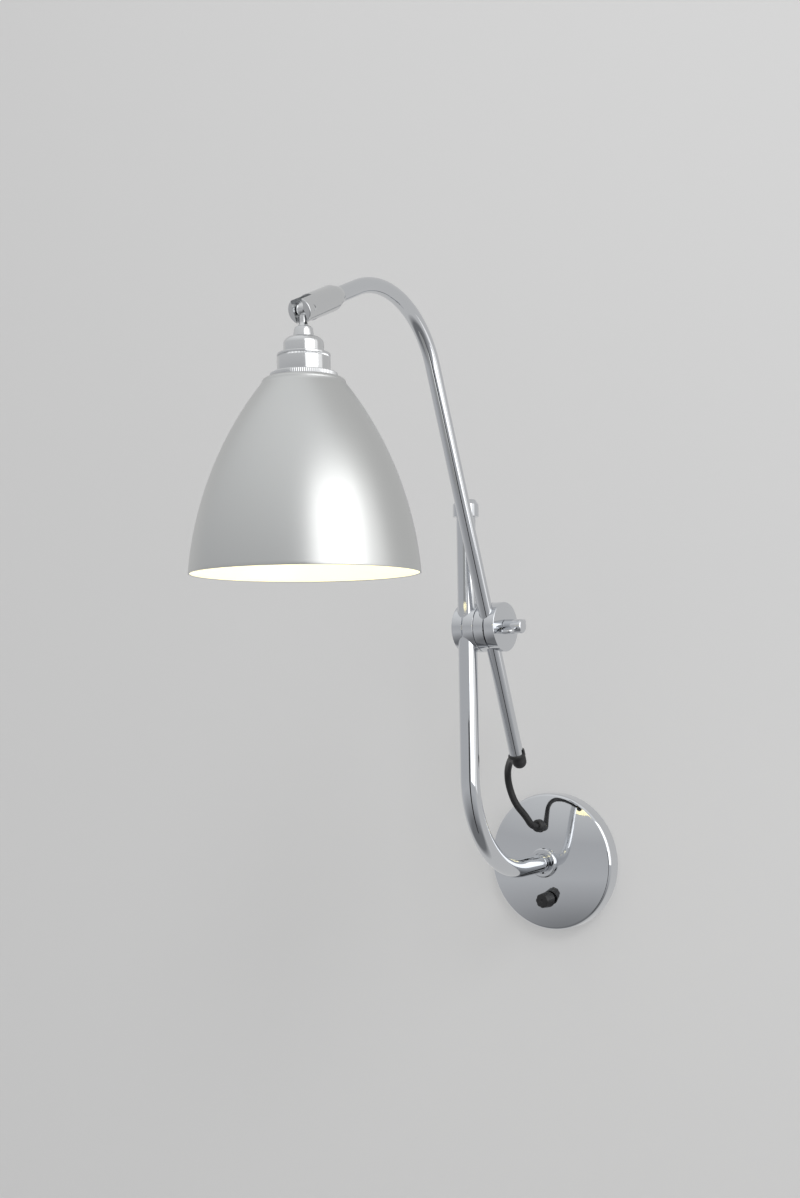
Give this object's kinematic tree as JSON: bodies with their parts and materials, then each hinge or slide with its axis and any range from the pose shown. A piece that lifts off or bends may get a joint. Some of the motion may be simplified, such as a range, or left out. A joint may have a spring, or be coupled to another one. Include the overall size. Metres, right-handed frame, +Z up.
{
  "type": "wall lamp",
  "caption": "Articulating wall lamp: round wall plate, bent chrome arm, cross clamp with wing nut, sliding upper arm, tilting bell shade and a short free flex.",
  "frame": {"origin": "centre of the round wall plate's back face, on the wall, halfway between the two mounting holes", "axes": "+Z up the wall, +Y into the wall (the lamp stands out along -Y), +X to the right of someone facing the wall"},
  "size_m": [0.1607, 0.4739, 0.5231],
  "materials": {
    "polished_chrome": "mirror-polished chrome plate",
    "brushed_aluminium": "satin outside, white enamel inside",
    "zinc_steel": "zinc plated",
    "dark_steel": "blackened",
    "brass": "turned",
    "black_rubber": "matte moulded",
    "black_flex": "matte sheathed",
    "black_plastic": "matte moulded",
    "white_plastic": "matte moulded",
    "white_ceramic": "glazed ceramic",
    "nickel_cap": "plain",
    "opal_glass": "opal, lit warm white"
  },
  "bodies": {
    "wall_base": {"wall_bracket": "zinc_steel", "wall_plate": "polished_chrome", "plate_screw": "polished_chrome", "arm_collar": "polished_chrome", "collar_locknut": "zinc_steel", "collar_grub_screw": "dark_steel", "cord_grommet": "black_rubber", "flex_tail": "black_flex", "cord_clamp": "white_plastic", "terminal_block": "white_plastic", "terminal_screws": "brass", "earth_terminal": "brass", "switch_body": "black_plastic", "switch_nut": "polished_chrome", "flex_loop": "black_flex"},
    "switch_grip": {"switch_knob": "black_plastic"},
    "lower_arm": {"lower_arm_tube": "polished_chrome", "lower_arm_cap": "polished_chrome", "arm_circlip": "zinc_steel"},
    "lower_ring": {"lower_friction_ring": "white_plastic"},
    "lower_clamp": {"lower_cheek_outer": "polished_chrome", "lower_cheek_inner": "polished_chrome", "clamp_bolt": "polished_chrome"},
    "bolt_nut": {"wing_nut": "polished_chrome"},
    "upper_clamp": {"upper_cheek_inner": "polished_chrome", "upper_cheek_outer": "polished_chrome"},
    "upper_ring": {"upper_friction_ring": "white_plastic"},
    "upper_arm": {"upper_arm_tube": "polished_chrome", "arm_end_boot": "black_rubber", "arm_flex": "black_flex", "knuckle_ferrule": "polished_chrome"},
    "knuckle": {"knuckle_barrel": "polished_chrome", "knuckle_pin": "polished_chrome", "knuckle_grub_screw": "dark_steel"},
    "shade_head": {"swivel_tongue": "polished_chrome", "tongue_nut": "zinc_steel", "holder_leads": "black_flex", "holder_neck": "polished_chrome", "holder_cap": "polished_chrome", "knurled_bead": "polished_chrome", "holder_body": "polished_chrome", "holder_sleeve": "black_plastic", "shade_ring": "polished_chrome", "shade_lock_ring": "black_plastic", "socket_core": "white_ceramic", "socket_shell": "brass", "centre_contact": "brass", "shade": "brushed_aluminium", "bulb_cap": "nickel_cap", "bulb_glass": "opal_glass"}
  },
  "joints": [
    {"name": "arm_swivel", "type": "hinge", "parent": "wall_base", "child": "lower_arm", "pos_m": [0, -0.021, 0], "axis": [0, 1, 0], "range_deg": [-45, 45], "deforming": ["flex_loop"]},
    {"name": "clamp_slide", "type": "slide", "parent": "lower_arm", "child": "lower_ring", "axis": [0, 0, 1], "range_m": [-0.04, 0.015], "deforming": ["flex_loop"]},
    {"name": "clamp_swing", "type": "hinge", "parent": "lower_ring", "child": "lower_clamp", "pos_m": [0, -0.148, 0.2054], "axis": [0, 0, 1], "range_deg": [-20, 20], "deforming": ["flex_loop"]},
    {"name": "arm_pivot", "type": "hinge", "parent": "lower_clamp", "child": "upper_clamp", "pos_m": [0, -0.1372, 0.2054], "axis": [1, 0, 0], "range_deg": [-6, 25], "deforming": ["flex_loop"]},
    {"name": "arm_roll", "type": "hinge", "parent": "upper_clamp", "child": "upper_ring", "pos_m": [0.0205, -0.14633, 0.2018], "axis": [0, -0.3665, 0.9304], "range_deg": [-45, 45], "deforming": ["flex_loop"]},
    {"name": "arm_slide", "type": "slide", "parent": "upper_ring", "child": "upper_arm", "axis": [0, -0.3665, 0.9304], "range_m": [-0.04, 0.01], "deforming": ["flex_loop"]},
    {"name": "knuckle_swivel", "type": "hinge", "parent": "upper_arm", "child": "knuckle", "pos_m": [0.0205, -0.39396, 0.41994], "axis": [0, -0.9063, -0.4226], "range_deg": [-90, 90]},
    {"name": "shade_tilt", "type": "hinge", "parent": "knuckle", "child": "shade_head", "pos_m": [0.0205, -0.39396, 0.41994], "axis": [1, 0, 0], "range_deg": [-65, 40]},
    {"name": "wing_nut_turn", "type": "hinge", "parent": "lower_clamp", "child": "bolt_nut", "pos_m": [0.0343, -0.1372, 0.2054], "axis": [1, 0, 0], "range_deg": [0, 90]},
    {"name": "switch_turn", "type": "hinge", "parent": "wall_base", "child": "switch_grip", "pos_m": [0.0028, -0.025, -0.032], "axis": [0, 1, 0], "range_deg": [0, 90]}
  ]
}
